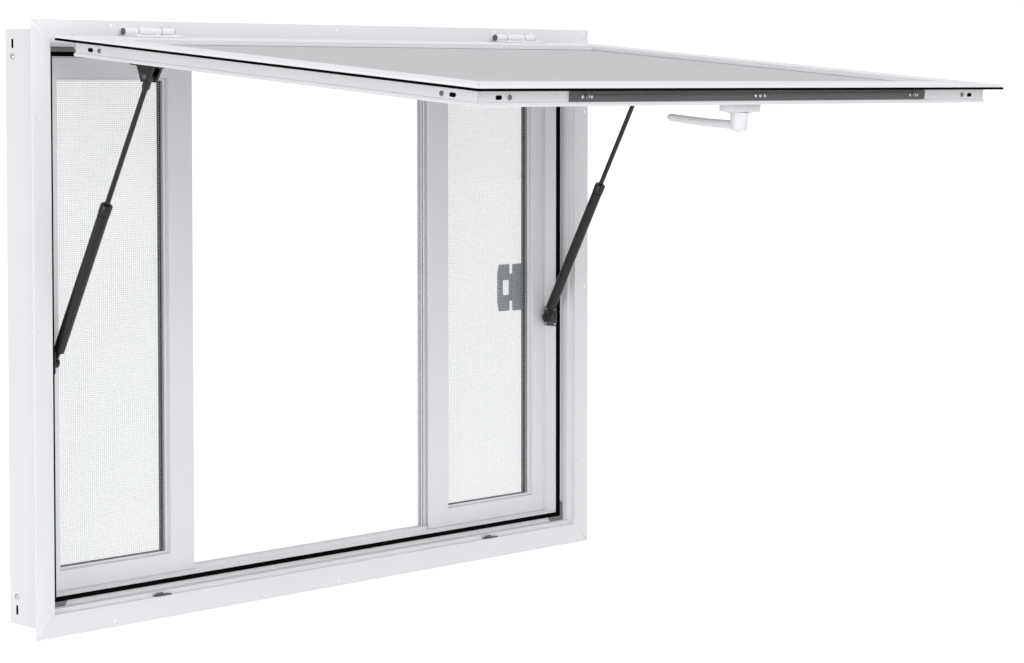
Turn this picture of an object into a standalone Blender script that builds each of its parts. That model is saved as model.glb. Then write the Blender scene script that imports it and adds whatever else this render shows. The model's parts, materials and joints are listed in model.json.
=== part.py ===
"""Top-hung serving window with a lever-locked awning sash.

A mitred wall frame carries an awning sash on two hinges.  Two gas struts hold the awning
open, and a lever handle drives a lock bar in its front rail.  Behind the awning are two
fixed insect screens, and behind those two sliding glazed sashes.

Metres.  +X is to the right seen from outside, +Y runs into the building, +Z is up.  The
origin is the middle of the sleeve's underside, the face that stands on the wall opening's
sill.  The awning is drawn shut, hanging from its hinge axis, and one empty swings it open.
"""

import math

import bmesh
import bpy
from mathutils import Matrix, Vector

GAP = 0.0003
WALL = 0.002

# Wall frame: a sleeve that fills the wall opening, with a flange in front of the wall.
SLEEVE_WIDTH = 1.217
SLEEVE_HEIGHT = 0.913
SLEEVE_DEPTH = 0.084
FLANGE_THICK = 0.002
FLANGE_OVERHANG = 0.0145
FLANGE_LIP = 0.0205
FLANGE_BACK = -SLEEVE_DEPTH / 2
FLANGE_FRONT = FLANGE_BACK - FLANGE_THICK
SLEEVE_BACK = SLEEVE_DEPTH / 2
POCKET_INSET = 0.0265
STEP_Y = -0.0316
STOP_Y = -0.016
CLEAR_INSET = 0.0425
CLEAR_HALF_WIDTH = SLEEVE_WIDTH / 2 - CLEAR_INSET
RIB_WIDTH = 0.004
RIB_HEIGHT = 0.005
SCREW_HOLE_RADIUS = 0.0024
SCREW_HOLE_INSET = -0.0065
HEAD_HOLE_PITCH = 0.472
JAMB_HOLE_PITCH = 0.321
FRAME_SEAL_INSET = 0.0345
FRAME_SEAL_WIDTH = 0.007
FRAME_SEAL_PROUD = 0.006
GUSSET_UPRIGHT = 0.036
GUSSET_SILL_ARM = 0.036
GUSSET_HEAD_ARM = 0.060
GUSSET_WIDTH = 0.0075
GUSSET_CHAMFER = 0.005
GUSSET_THICK = 0.004

# Fixed screens and the sliding sashes behind them.
SCREEN_FRONT = 0.012
SCREEN_DEPTH = 0.014
SASH_FRONT = 0.0295
SASH_DEPTH = 0.012
PANEL_INNER_X = 0.267
PANEL_OUTER_X = CLEAR_HALF_WIDTH - 0.0005
PANEL_FOOT_Z = CLEAR_INSET + 0.0005
PANEL_HEIGHT = SLEEVE_HEIGHT - 2 * PANEL_FOOT_Z
JAMB_STILE = 0.0305
MEETING_STILE = 0.049
CROSS_RAIL = 0.031
GROOVE_DEPTH = 0.008
GROOVE_LIP = 0.0023
PANE_SLOT_DEPTH = 0.006
PANE_EDGE = 0.0055
TUBE_WALL = 0.0016
SCREEN_PANE_Y = 0.0112
SCREEN_PANE_THICK = 0.0008
GLASS_Y = 0.006
GLASS_THICK = 0.003

# Awning sash, measured from its hinge axis with the sash shut.
HINGE_Y = -0.059
HINGE_Z = 0.9105
OPEN_ANGLE = math.radians(85.2)
AWNING_WIDTH = 1.1976
AWNING_HEIGHT = 0.892
AWNING_TOP = -0.0116
LIP_PLANE = 0.0107
LIP_THICK = 0.004
BORDER_WIDTH = 0.068
SASH_BACK = 0.026
CHANNEL_DEPTH = 0.0205
CHANNEL_INSET = 0.0225
BOTTOM_LIP_INSET = 0.021
INNER_WALL = 0.066
PANEL_Y = 0.004
PANEL_THICK = 0.002
AWNING_SEAL_INSET = 0.0005
AWNING_SEAL_WIDTH = 0.0085
AWNING_SEAL_DEPTH = 0.0025
AWNING_FOOT = AWNING_TOP - AWNING_HEIGHT

# Hinges.
HINGE_X = 0.412
HINGE_LENGTH = 0.098
HINGE_MIDDLE = 0.045
BARREL_RADIUS = 0.006
PIN_RADIUS = 0.0025
BARREL_BORE = PIN_RADIUS + GAP
LEAF_THICK = 0.002
AWNING_LEAF_TOP = -0.0056
AWNING_LEAF_FOOT = -0.034
FRAME_LEAF_FOOT = -0.0050
FRAME_LEAF_TOP = 0.0135
HINGE_WEB = 0.004
HINGE_TAB = 0.005
PIN_LENGTH = HINGE_LENGTH + 0.003
OVERLAP = 0.001

# Handle, its spindle and the lock bar.
HANDLE_INSET = 0.053
HANDLE_TRAVEL = math.radians(90)
BASE_SIZE = (0.069, 0.013, 0.022)
BASE_BEVEL = 0.0015
HUB_RADIUS = 0.0134
HUB_TIP_RADIUS = 0.012
HUB_LENGTH = 0.027
LEVER_LENGTH = 0.137
LEVER_ROOT_RADIUS = 0.0062
LEVER_TIP_RADIUS = 0.005
LEVER_START = 0.004
LEVER_FROM_HUB_END = 0.0075
SPINDLE_RADIUS = 0.004
SPINDLE_START = 0.0065
SPINDLE_HUB_DEPTH = 0.0125
SPINDLE_HOLE_RADIUS = SPINDLE_RADIUS + 0.0005
FORK_Y = 0.0070
FORK_THICK = 0.0025
FORK_REACH = 0.016
FORK_HALF_WIDTH = 0.0058
FORK_SLOT_START = 0.0062
FORK_SLOT_HALF = 0.0032
LOCK_TRAVEL = 0.018
LOCK_BAR_LENGTH = 0.815
LOCK_BAR_MIDDLE_X = 0.005
LOCK_BAR_OUTER = 0.0203
LOCK_BAR_INNER = 0.0222
LOCK_BAR_Y = 0.006
LOCK_BAR_HEIGHT = 0.0137
LINK_HALF_WIDTH = 0.004
LINK_Y = 0.0115
LINK_THICK = 0.002
LINK_END = 0.0475
LINK_SLOT_SPARE = 0.0008
PEG_RADIUS = 0.002
STUD_X = 0.3755
STUD_SHIFT = 0.007
STUD_RADIUS = 0.0035
STUD_Y = 0.0125
STUD_TIP = 0.016
KEEPER_X = 0.3725
KEEPER_SHIFT = -0.0015
KEEPER_Y = -0.0378
KEEPER_SIZE = (0.031, 0.011, 0.0015)
KEEPER_HOOK = (0.014, 0.0018, 0.0055)
KEEPER_HOOK_SHIFT = -0.0085
KEEPER_HOOK_Y = -0.0407

# Gas struts: (Y, Z) of the foot pivot, and the clevis pin from the awning's top edge.
STRUT_X = 0.555
FOOT_Y = -0.0045
FOOT_Z = 0.4015
CLEVIS_DROP = 0.1737
CLEVIS_BEHIND_SASH = 0.0177
CLEVIS_PIN_Y = LIP_PLANE + SASH_BACK + CLEVIS_BEHIND_SASH
CLEVIS_PIN_Z = AWNING_TOP - CLEVIS_DROP
CLEVIS_PLATE = (0.022, 0.0025, 0.068)
CLEVIS_ROOT = 0.021
CLEVIS_NOSE = 0.0085
CLEVIS_EAR_THICK = 0.0025
CLEVIS_EAR_GAP = 0.0125
CLEVIS_PIN_RADIUS = 0.003
ROD_RADIUS = 0.004
ROD_LENGTH = 0.290
ROD_EYE_RADIUS = 0.0075
ROD_EYE_WIDTH = 0.0115
PISTON_RADIUS = 0.0068
PISTON_LENGTH = 0.008
TUBE_RADIUS = 0.009
TUBE_BORE = 0.0074
TUBE_START = 0.020
TUBE_BORE_START = 0.026
NECK_RADIUS = 0.004
CAP_RADIUS = 0.0096
CAP_START = 0.264
TUBE_LENGTH = 0.281
CAP_BORE = ROD_RADIUS + 0.0004
SOCKET_RADIUS = 0.0085
SOCKET_WIDTH = 0.008
SOCKET_GAP = 0.0006
FOOT_PLATE = (0.0012, 0.0316, 0.036)
FOOT_PLATE_Y = -0.004
FOOT_PLATE_Z = 0.4025
FOOT_STUD_RADIUS = 0.005

# The right sash's latch.
LATCH_Z = 0.456
LATCH_CASE_BEVEL = 0.0015
LATCH_HEIGHT = 0.086
LATCH_CASE_INNER_X = 0.5155
LATCH_CASE_OUTER_X = 0.5575
LATCH_CASE_THICK = 0.0055
LATCH_GRIP_X = 0.4805
LATCH_GRIP_END_X = 0.511
LATCH_THICK = 0.003
LATCH_CHAMFER = 0.008
LATCH_TONGUE_HEIGHT = 0.050
LATCH_TONGUE_END_X = 0.5345
LATCH_WINDOW = (0.017, 0.027)
LATCH_WINDOW_X = 0.502

ROUND_SIDES = 20
SMALL_SIDES = 12

SIDES = (("left", -1), ("right", 1))


# --- scene helpers -------------------------------------------------------------------

def clear_scene():
    for obj in list(bpy.data.objects):
        bpy.data.objects.remove(obj, do_unlink=True)


def make_collection(name):
    collection = bpy.data.collections.new(name)
    bpy.context.scene.collection.children.link(collection)
    return collection


def make_material(name, colour, roughness, metallic=0.0, alpha=1.0):
    material = bpy.data.materials.new(name)
    material.use_nodes = True
    shader = material.node_tree.nodes["Principled BSDF"]
    shader.inputs["Base Color"].default_value = (*colour, 1.0)
    shader.inputs["Roughness"].default_value = roughness
    shader.inputs["Metallic"].default_value = metallic
    shader.inputs["Alpha"].default_value = alpha
    material.diffuse_color = (*colour, alpha)
    return material


def make_empty(name, location=(0, 0, 0), parent=None, rotation=(0, 0, 0)):
    empty = bpy.data.objects.new(name, None)
    PARTS.objects.link(empty)
    empty.parent = parent
    empty.location = location
    empty.rotation_euler = rotation
    return empty


def make_part(name, mesh, material, location=(0, 0, 0), parent=None, rotation=(0, 0, 0)):
    mesh.name = name
    mesh.materials.clear()
    mesh.materials.append(material)
    part = bpy.data.objects.new(name, mesh)
    PARTS.objects.link(part)
    part.parent = parent
    part.location = location
    part.rotation_euler = rotation
    return part


def make_guide(name, mesh, location, parent=None, rotation=(0, 0, 0)):
    guide = bpy.data.objects.new(name, mesh)
    CUTTERS.objects.link(guide)
    guide.parent = parent
    guide.location = location
    guide.rotation_euler = rotation
    guide.hide_render = True
    guide.display_type = "WIRE"
    return guide


def combine(part, guide, operation):
    modifier = part.modifiers.new(guide.name, "BOOLEAN")
    modifier.operation = operation
    modifier.solver = "EXACT"
    modifier.object = guide


def bevel(part, width, segments=2):
    modifier = part.modifiers.new("rounded_edges", "BEVEL")
    modifier.width = width
    modifier.segments = segments
    modifier.limit_method = "ANGLE"


# --- mesh helpers --------------------------------------------------------------------

def box_mesh(size):
    """A box centred on its own origin."""
    mesh = bpy.data.meshes.new("box")
    edit = bmesh.new()
    bmesh.ops.create_cube(edit, size=1.0, matrix=Matrix.Diagonal((*size, 1.0)))
    edit.to_mesh(mesh)
    edit.free()
    return mesh


AXIS_TURN = {
    "X": Matrix.Rotation(math.radians(90), 4, "Y"),
    "Y": Matrix.Rotation(math.radians(-90), 4, "X"),
    "Z": Matrix.Identity(4),
}


def round_mesh(radius, length, axis="Z", sides=ROUND_SIDES, end_radius=None, start=None):
    """A cylinder or cone along an axis, centred unless start gives where it begins."""
    middle = 0.0 if start is None else start + length / 2
    mesh = bpy.data.meshes.new("round")
    edit = bmesh.new()
    bmesh.ops.create_cone(
        edit,
        cap_ends=True,
        segments=sides,
        radius1=radius,
        radius2=radius if end_radius is None else end_radius,
        depth=length,
        matrix=AXIS_TURN[axis] @ Matrix.Translation((0, 0, middle)),
    )
    edit.to_mesh(mesh)
    edit.free()
    mesh.shade_smooth()
    mesh.set_sharp_from_angle(angle=math.radians(40))
    return mesh


def outline_mesh(loops, thickness):
    """Closed loops of (x, y), the first one outside, filled and extruded along Z."""
    curve = bpy.data.curves.new("outline", "CURVE")
    curve.dimensions = "2D"
    curve.fill_mode = "BOTH"
    curve.extrude = thickness / 2
    for loop in loops:
        spline = curve.splines.new("POLY")
        spline.points.add(len(loop) - 1)
        for point, (x, y) in zip(spline.points, loop):
            point.co = (x, y, 0.0, 1.0)
        spline.use_cyclic_u = True
    holder = bpy.data.objects.new("outline", curve)
    bpy.context.scene.collection.objects.link(holder)
    depsgraph = bpy.context.evaluated_depsgraph_get()
    mesh = bpy.data.meshes.new_from_object(holder.evaluated_get(depsgraph))
    bpy.data.objects.remove(holder, do_unlink=True)
    edit = bmesh.new()
    edit.from_mesh(mesh)
    bmesh.ops.remove_doubles(edit, verts=edit.verts, dist=0.00001)
    bmesh.ops.recalc_face_normals(edit, faces=edit.faces)
    edit.to_mesh(mesh)
    edit.free()
    return mesh


def rail_mesh(section, length, start_slope=1.0, end_slope=1.0):
    """A rail along X cut to a mitre at each end.

    The section's loops hold (depth, inset): depth along Y, inset from the frame's outer
    edge along Z.  A slope is how far an end draws back for each unit of inset.
    """
    mesh = outline_mesh(section, 1.0)
    for vertex in mesh.vertices:
        depth, inset, side = vertex.co
        slope = end_slope if side > 0 else start_slope
        reach = length / 2 - GAP - inset * slope
        vertex.co = (math.copysign(reach, side), depth, inset)
    mesh.update()
    return mesh


def ring_mesh(width, height, band, thickness):
    """A rectangular ring in the XZ plane, thickness along Y."""
    half_w = width / 2
    half_h = height / 2
    outer = [(-half_w, -half_h), (half_w, -half_h), (half_w, half_h), (-half_w, half_h)]
    inner = [(x - math.copysign(band, x), y - math.copysign(band, y)) for x, y in outer]
    mesh = outline_mesh([outer, inner], thickness)
    mesh.transform(Matrix.Rotation(math.radians(90), 4, "X"))
    return mesh


def four_rails(names, width, height, centre, material, parent, sections, slopes):
    """Foot, head, left and right rails round a frame in the XZ plane.

    sections maps each side to its loops, slopes to its (start, end) mitre slopes.
    """
    x, y, z = centre
    places = {
        "foot": (width, (x, y, z - height / 2), 0.0),
        "head": (width, (x, y, z + height / 2), math.radians(180)),
        "left": (height, (x - width / 2, y, z), math.radians(90)),
        "right": (height, (x + width / 2, y, z), math.radians(-90)),
    }
    rails = {}
    for side, (length, location, turn) in places.items():
        mesh = rail_mesh(sections[side], length, *slopes[side])
        rails[side] = make_part(names[side], mesh, material, location, parent, (0, turn, 0))
    return rails


def equal_sides(value):
    return {side: value for side in ("foot", "head", "left", "right")}


# --- wall frame ----------------------------------------------------------------------

def rib_corners(middle):
    """The corners of one track rib that stands inward from the sleeve's inner wall."""
    near = middle - RIB_WIDTH / 2
    far = middle + RIB_WIDTH / 2
    top = CLEAR_INSET + RIB_HEIGHT
    return [(near, CLEAR_INSET), (near, top), (far, top), (far, CLEAR_INSET)]


def wall_frame_section():
    outer = [
        (FLANGE_FRONT, -FLANGE_OVERHANG),
        (FLANGE_FRONT, FLANGE_LIP),
        (STEP_Y, FLANGE_LIP),
        (STEP_Y, POCKET_INSET),
        (STOP_Y, POCKET_INSET),
        (STOP_Y, CLEAR_INSET),
        *rib_corners(SCREEN_FRONT + SCREEN_DEPTH / 2),
        *rib_corners(SASH_FRONT + SASH_DEPTH / 2),
        (SLEEVE_BACK, CLEAR_INSET),
        (SLEEVE_BACK, 0.0),
        (FLANGE_BACK, 0.0),
        (FLANGE_BACK, -FLANGE_OVERHANG),
    ]
    hollow = [
        (FLANGE_BACK, WALL),
        (FLANGE_BACK, FLANGE_LIP - WALL),
        (STEP_Y + WALL, FLANGE_LIP - WALL),
        (STEP_Y + WALL, POCKET_INSET - WALL),
        (STOP_Y + WALL, POCKET_INSET - WALL),
        (STOP_Y + WALL, CLEAR_INSET - WALL),
        (SLEEVE_BACK - WALL, CLEAR_INSET - WALL),
        (SLEEVE_BACK - WALL, WALL),
    ]
    return [outer, hollow]


def drill_flange(rail, pitch):
    """Three screw holes through the flange, clear of the sleeve."""
    for step in (-1, 0, 1):
        mesh = round_mesh(SCREW_HOLE_RADIUS, 4 * FLANGE_THICK, "Y", SMALL_SIDES)
        place = (step * pitch, FLANGE_FRONT + FLANGE_THICK / 2, SCREW_HOLE_INSET)
        drill = make_guide(f"{rail.name}_drill", mesh, place, rail)
        combine(rail, drill, "DIFFERENCE")


def build_wall_frame(material):
    names = {
        "foot": "frame_sill",
        "head": "frame_head",
        "left": "frame_jamb_left",
        "right": "frame_jamb_right",
    }
    centre = (0, 0, SLEEVE_HEIGHT / 2)
    rails = four_rails(
        names, SLEEVE_WIDTH, SLEEVE_HEIGHT, centre, material, None,
        equal_sides(wall_frame_section()), equal_sides((1.0, 1.0)),
    )
    for side, rail in rails.items():
        pitch = HEAD_HOLE_PITCH if side in ("foot", "head") else JAMB_HOLE_PITCH
        drill_flange(rail, pitch)


def build_frame_seal(material):
    width = SLEEVE_WIDTH - 2 * FRAME_SEAL_INSET
    height = SLEEVE_HEIGHT - 2 * FRAME_SEAL_INSET
    thickness = FRAME_SEAL_PROUD - GAP
    mesh = ring_mesh(width, height, FRAME_SEAL_WIDTH, thickness)
    make_part("frame_seal", mesh, material, (0, STOP_Y - GAP - thickness / 2, SLEEVE_HEIGHT / 2))


def build_corner_gussets(material):
    """A chamfered L in each corner of the frame's pocket, on the stop face."""
    wide = GUSSET_WIDTH
    cut = GUSSET_CHAMFER
    upright = GUSSET_UPRIGHT
    inset = POCKET_INSET + GAP
    for height_name, up, arm in (("bottom", 1, GUSSET_SILL_ARM), ("top", -1, GUSSET_HEAD_ARM)):
        outline = [
            (0, 0), (arm - cut, 0), (arm, wide), (wide, wide), (wide, upright), (0, upright - cut),
        ]
        for side_name, side in SIDES:
            loop = [(-side * x, up * y) for x, y in outline]
            mesh = outline_mesh([loop], GUSSET_THICK)
            mesh.transform(Matrix.Rotation(math.radians(90), 4, "X"))
            x = side * (SLEEVE_WIDTH / 2 - inset)
            z = inset if up > 0 else SLEEVE_HEIGHT - inset
            place = (x, STOP_Y - GAP - GUSSET_THICK / 2, z)
            make_part(f"corner_gusset_{height_name}_{side_name}", mesh, material, place)


def build_keepers(material):
    """Plates in the sill's pocket, each with a hook that the lock bar's stud slides behind."""
    foot = FLANGE_LIP + GAP
    for side_name, side in SIDES:
        x = side * KEEPER_X + KEEPER_SHIFT
        place = (x, KEEPER_Y, foot + KEEPER_SIZE[2] / 2)
        keeper = make_part(f"lock_keeper_{side_name}", box_mesh(KEEPER_SIZE), material, place)
        place = (x + KEEPER_HOOK_SHIFT, KEEPER_HOOK_Y, foot + KEEPER_HOOK[2] / 2)
        hook = make_guide(f"{keeper.name}_hook", box_mesh(KEEPER_HOOK), place)
        combine(keeper, hook, "UNION")


# --- screens and sliding sashes ------------------------------------------------------

def panel_section(depth, width, pane_y, pane_thick):
    """A tube with a track groove in its outer edge and a slot for the pane in its inner edge."""
    slot_near = pane_y - pane_thick / 2 - GAP
    slot_far = pane_y + pane_thick / 2 + GAP
    slot_foot = width - PANE_SLOT_DEPTH
    outer = [
        (0, 0),
        (GROOVE_LIP, 0),
        (GROOVE_LIP, GROOVE_DEPTH),
        (depth - GROOVE_LIP, GROOVE_DEPTH),
        (depth - GROOVE_LIP, 0),
        (depth, 0),
        (depth, width),
        (slot_far, width),
        (slot_far, slot_foot),
        (slot_near, slot_foot),
        (slot_near, width),
        (0, width),
    ]
    low = GROOVE_DEPTH + TUBE_WALL
    high = slot_foot - TUBE_WALL
    hollow = [
        (TUBE_WALL, low),
        (depth - TUBE_WALL, low),
        (depth - TUBE_WALL, high),
        (TUBE_WALL, high),
    ]
    return [outer, hollow]


def build_panel(prefix, side, front, depth, pane_y, pane_thick, pane_name, materials, parent):
    """One framed panel: four mitred rails round a pane, its meeting stile toward the centre."""
    frame_material, pane_material = materials
    width = PANEL_OUTER_X - PANEL_INNER_X
    centre_x = side * (PANEL_OUTER_X + PANEL_INNER_X) / 2
    centre_z = PANEL_FOOT_Z + PANEL_HEIGHT / 2

    def section(rail_width):
        return panel_section(depth, rail_width, pane_y, pane_thick)

    jamb_side, meeting_side = ("right", "left") if side > 0 else ("left", "right")
    to_jamb = JAMB_STILE / CROSS_RAIL
    to_meeting = MEETING_STILE / CROSS_RAIL
    foot_slopes = (to_meeting, to_jamb) if side > 0 else (to_jamb, to_meeting)
    names = {
        "foot": f"{prefix}_foot_rail",
        "head": f"{prefix}_head_rail",
        jamb_side: f"{prefix}_jamb_stile",
        meeting_side: f"{prefix}_meeting_stile",
    }
    sections = {
        "foot": section(CROSS_RAIL),
        "head": section(CROSS_RAIL),
        jamb_side: section(JAMB_STILE),
        meeting_side: section(MEETING_STILE),
    }
    slopes = {
        "foot": foot_slopes,
        "head": foot_slopes[::-1],
        jamb_side: (CROSS_RAIL / JAMB_STILE, CROSS_RAIL / JAMB_STILE),
        meeting_side: (CROSS_RAIL / MEETING_STILE, CROSS_RAIL / MEETING_STILE),
    }
    four_rails(
        names, width, PANEL_HEIGHT, (centre_x, front, centre_z), frame_material, parent,
        sections, slopes,
    )
    pane_low = PANEL_INNER_X + MEETING_STILE - PANE_EDGE
    pane_high = PANEL_OUTER_X - JAMB_STILE + PANE_EDGE
    pane_size = (
        pane_high - pane_low,
        pane_thick,
        PANEL_HEIGHT - 2 * CROSS_RAIL + 2 * PANE_EDGE,
    )
    place = (side * (pane_low + pane_high) / 2, front + pane_y, centre_z)
    make_part(pane_name, box_mesh(pane_size), pane_material, place, parent)


def build_latch(side_name, side, material, parent, slide):
    """A latch on the sash's inside face: a case on the jamb stile and a sliding grip."""
    back = SASH_FRONT + SASH_DEPTH + GAP
    case_width = LATCH_CASE_OUTER_X - LATCH_CASE_INNER_X
    case_x = side * (LATCH_CASE_OUTER_X + LATCH_CASE_INNER_X) / 2
    place = (case_x, back + LATCH_CASE_THICK / 2, LATCH_Z)
    size = (case_width, LATCH_CASE_THICK, LATCH_HEIGHT)
    case = make_part(f"sash_{side_name}_latch_case", box_mesh(size), material, place, parent)
    bevel(case, LATCH_CASE_BEVEL, 1)
    half = LATCH_HEIGHT / 2
    tongue = LATCH_TONGUE_HEIGHT / 2
    cut = LATCH_CHAMFER
    outline = [
        (LATCH_GRIP_X, -half + 2 * cut),
        (LATCH_GRIP_X + cut / 2, -half),
        (LATCH_GRIP_END_X, -half),
        (LATCH_GRIP_END_X, -tongue),
        (LATCH_TONGUE_END_X, -tongue),
        (LATCH_TONGUE_END_X, tongue),
        (LATCH_GRIP_END_X, tongue),
        (LATCH_GRIP_END_X, half),
        (LATCH_GRIP_X + cut / 2, half),
        (LATCH_GRIP_X, half - 2 * cut),
    ]
    half_x = LATCH_WINDOW[0] / 2
    half_z = LATCH_WINDOW[1] / 2
    window = [
        (LATCH_WINDOW_X - half_x, -half_z),
        (LATCH_WINDOW_X + half_x, -half_z),
        (LATCH_WINDOW_X + half_x, half_z),
        (LATCH_WINDOW_X - half_x, half_z),
    ]
    loops = [[(side * x, z) for x, z in loop] for loop in (outline, window)]
    mesh = outline_mesh(loops, LATCH_THICK)
    mesh.transform(Matrix.Rotation(math.radians(90), 4, "X"))
    place = (0, back + LATCH_CASE_THICK + GAP + LATCH_THICK / 2, LATCH_Z)
    make_part(f"sash_{side_name}_latch_grip", mesh, material, place, slide)


def build_panels(white, mesh_cloth, glass, grey):
    for side_name, side in SIDES:
        build_panel(
            f"screen_{side_name}", side, SCREEN_FRONT, SCREEN_DEPTH, SCREEN_PANE_Y,
            SCREEN_PANE_THICK, f"screen_{side_name}_mesh", (white, mesh_cloth), None,
        )
        sash = make_empty(f"sash_{side_name}_slide")
        build_panel(
            f"sash_{side_name}", side, SASH_FRONT, SASH_DEPTH, GLASS_Y,
            GLASS_THICK, f"sash_{side_name}_glass", (white, glass), sash,
        )
        if side > 0:
            grip = make_empty("sash_right_latch_slide", parent=sash)
            build_latch(side_name, side, grey, sash, grip)


# --- awning sash ---------------------------------------------------------------------

def awning_section():
    outer = [
        (0, 0),
        (-LIP_THICK, 0),
        (-LIP_THICK, BORDER_WIDTH),
        (PANEL_Y - GAP, BORDER_WIDTH),
        (PANEL_Y - GAP, INNER_WALL),
        (SASH_BACK, INNER_WALL),
        (SASH_BACK, BOTTOM_LIP_INSET),
        (CHANNEL_DEPTH, BOTTOM_LIP_INSET),
        (CHANNEL_DEPTH, CHANNEL_INSET),
        (0, CHANNEL_INSET),
    ]
    hollow = [
        (WALL - LIP_THICK, CHANNEL_INSET + WALL),
        (WALL - LIP_THICK, INNER_WALL - WALL),
        (SASH_BACK - WALL, INNER_WALL - WALL),
        (SASH_BACK - WALL, CHANNEL_INSET + WALL),
    ]
    return [outer, hollow]


def build_awning(white, sheet, rubber, pivot):
    names = {
        "foot": "awning_front_rail",
        "head": "awning_hinge_rail",
        "left": "awning_stile_left",
        "right": "awning_stile_right",
    }
    centre_z = AWNING_TOP - AWNING_HEIGHT / 2
    rails = four_rails(
        names, AWNING_WIDTH, AWNING_HEIGHT, (0, LIP_PLANE, centre_z), white, pivot,
        equal_sides(awning_section()), equal_sides((1.0, 1.0)),
    )
    front = rails["foot"]
    bore = round_mesh(SPINDLE_HOLE_RADIUS, 4 * WALL, "Y")
    place = (0, SASH_BACK - WALL / 2, HANDLE_INSET)
    combine(front, make_guide("spindle_hole", bore, place, front), "DIFFERENCE")
    spare = 2 * LINK_SLOT_SPARE
    slot = box_mesh((LOCK_TRAVEL + 2 * LINK_HALF_WIDTH + spare, LINK_THICK + spare, 3 * WALL))
    place = (0, LINK_Y + LINK_THICK / 2, CHANNEL_INSET + WALL / 2)
    combine(front, make_guide("link_slot", slot, place, front), "DIFFERENCE")

    inner = INNER_WALL + GAP
    size = (AWNING_WIDTH - 2 * inner, PANEL_THICK, AWNING_HEIGHT - 2 * inner)
    place = (0, LIP_PLANE + PANEL_Y + PANEL_THICK / 2, centre_z)
    make_part("awning_panel", box_mesh(size), sheet, place, pivot)

    thickness = AWNING_SEAL_DEPTH - GAP
    mesh = ring_mesh(
        AWNING_WIDTH - 2 * AWNING_SEAL_INSET, AWNING_HEIGHT - 2 * AWNING_SEAL_INSET,
        AWNING_SEAL_WIDTH, thickness,
    )
    place = (0, LIP_PLANE + GAP + thickness / 2, centre_z)
    make_part("awning_seal", mesh, rubber, place, pivot)


def hinge_knuckle(name, start, length, parent):
    """One knuckle of a hinge's barrel."""
    mesh = round_mesh(BARREL_RADIUS, length, "X", ROUND_SIDES)
    return make_guide(name, mesh, (start + length / 2, 0, 0), parent)


def build_hinge(side_name, side, white, steel, frame_axis, awning_axis):
    x = side * HINGE_X
    middle = HINGE_MIDDLE
    outer = (HINGE_LENGTH - middle) / 2 - GAP
    frame_hold = make_empty(f"hinge_{side_name}_frame_side", (x, 0, 0), frame_axis)
    awning_hold = make_empty(f"hinge_{side_name}_awning_side", (x, 0, 0), awning_axis)

    plate_y = FLANGE_FRONT - HINGE_Y - GAP - LEAF_THICK / 2
    plate_z = (FRAME_LEAF_FOOT + FRAME_LEAF_TOP) / 2
    size = (HINGE_LENGTH, LEAF_THICK, FRAME_LEAF_TOP - FRAME_LEAF_FOOT)
    leaf = make_part(
        f"hinge_{side_name}_frame_leaf", box_mesh(size), white, (0, plate_y, plate_z), frame_hold,
    )
    web_start = BARREL_RADIUS - OVERLAP
    web_length = plate_y - web_start
    web = box_mesh((middle, web_length, HINGE_WEB))
    place = (0, web_start + web_length / 2, 0)
    combine(leaf, make_guide(f"{leaf.name}_web", web, place, frame_hold), "UNION")
    knuckle = hinge_knuckle(f"{leaf.name}_knuckle", -middle / 2, middle, frame_hold)
    combine(leaf, knuckle, "UNION")
    bore = round_mesh(BARREL_BORE, HINGE_LENGTH, "X", SMALL_SIDES)
    combine(leaf, make_guide(f"{leaf.name}_bore", bore, (0, 0, 0), frame_hold), "DIFFERENCE")

    plate_y = LIP_PLANE - LIP_THICK - GAP - LEAF_THICK / 2
    plate_z = (AWNING_LEAF_TOP + AWNING_LEAF_FOOT) / 2
    size = (HINGE_LENGTH, LEAF_THICK, AWNING_LEAF_TOP - AWNING_LEAF_FOOT)
    leaf = make_part(
        f"hinge_{side_name}_awning_leaf", box_mesh(size), white, (0, plate_y, plate_z), awning_hold,
    )
    for end, start in (("a", -HINGE_LENGTH / 2), ("b", HINGE_LENGTH / 2 - outer)):
        tab = box_mesh((outer, LEAF_THICK, HINGE_TAB))
        place = (start + outer / 2, plate_y, AWNING_LEAF_TOP + HINGE_TAB / 2 - OVERLAP)
        combine(leaf, make_guide(f"{leaf.name}_tab_{end}", tab, place, awning_hold), "UNION")
        knuckle = hinge_knuckle(f"{leaf.name}_knuckle_{end}", start, outer, awning_hold)
        combine(leaf, knuckle, "UNION")
    bore = round_mesh(BARREL_BORE, 1.2 * HINGE_LENGTH, "X", SMALL_SIDES)
    combine(leaf, make_guide(f"{leaf.name}_bore", bore, (0, 0, 0), awning_hold), "DIFFERENCE")

    pin = round_mesh(PIN_RADIUS, PIN_LENGTH, "X", SMALL_SIDES)
    make_part(f"hinge_{side_name}_pin", pin, steel, (0, 0, 0), frame_hold)


# --- handle and lock -----------------------------------------------------------------

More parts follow.
